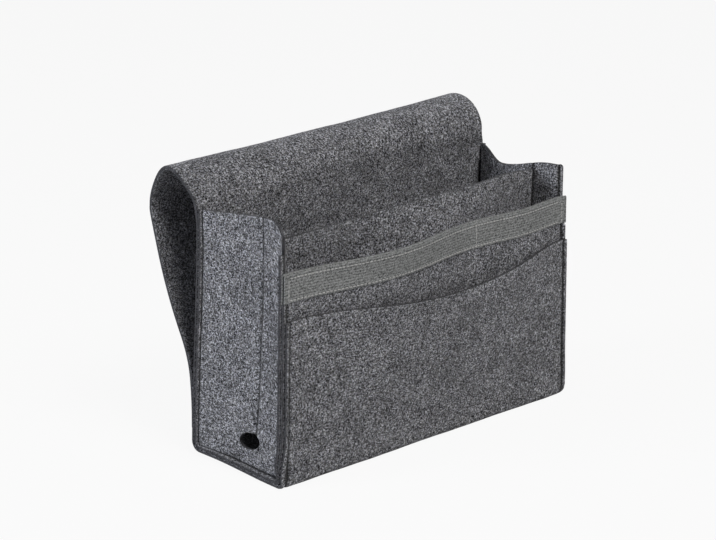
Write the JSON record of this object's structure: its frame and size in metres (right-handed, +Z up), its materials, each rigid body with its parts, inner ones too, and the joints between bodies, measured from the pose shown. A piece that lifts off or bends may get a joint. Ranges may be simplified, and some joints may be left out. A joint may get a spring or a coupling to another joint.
{
  "type": "bedside caddy",
  "caption": "Felt bedside caddy: an open bag with layered front pockets, sewn-in sides with cable holes, a ribbon-bound front and a long flap that tucks under a mattress.",
  "frame": {"origin": "centre of the flat underside, on the surface that the caddy stands on", "axes": "+X to the right seen from the front, along the width; +Y from the front pocket to the back; +Z up"},
  "size_m": [0.32, 0.1729, 0.2333],
  "materials": {
    "felt": "grey melange pressed felt with raw cut edges",
    "ribbon": "grey twill woven tape"
  },
  "bodies": {
    "bag": {"front_pocket": "felt", "front_wall": "felt", "top_ribbon": "ribbon", "divider_panel": "felt", "base_panel": "felt", "back_panel": "felt", "left_side": "felt", "right_side": "felt"},
    "flap_rise": {"flap_rise": "felt"},
    "flap_crown_front": {"flap_crown_front": "felt"},
    "flap_crown_rear": {"flap_crown_rear": "felt"},
    "flap_tail": {"flap_tail": "felt"}
  },
  "joints": [
    {"name": "flap_fold", "type": "hinge", "parent": "bag", "child": "flap_rise", "pos_m": [0, 0.0494, 0.203], "axis": [1, 0, 0], "range_deg": [0, 85]},
    {"name": "flap_unroll", "type": "hinge", "parent": "flap_rise", "child": "flap_crown_front", "pos_m": [0, 0.05389, 0.221], "axis": [1, 0, 0], "range_deg": [0, 66.6]},
    {"name": "unroll_top", "type": "hinge", "parent": "flap_crown_front", "child": "flap_crown_rear", "pos_m": [0, 0.08144, 0.23289], "axis": [1, 0, 0], "range_deg": [0, 66.6]},
    {"name": "unroll_rear", "type": "hinge", "parent": "flap_crown_rear", "child": "flap_tail", "pos_m": [0, 0.10326, 0.2123], "axis": [1, 0, 0], "range_deg": [0, 66.6]}
  ],
  "couplings": [
    {"joint": "unroll_top", "follows": "flap_unroll", "ratio": 1},
    {"joint": "unroll_rear", "follows": "flap_unroll", "ratio": 1}
  ]
}
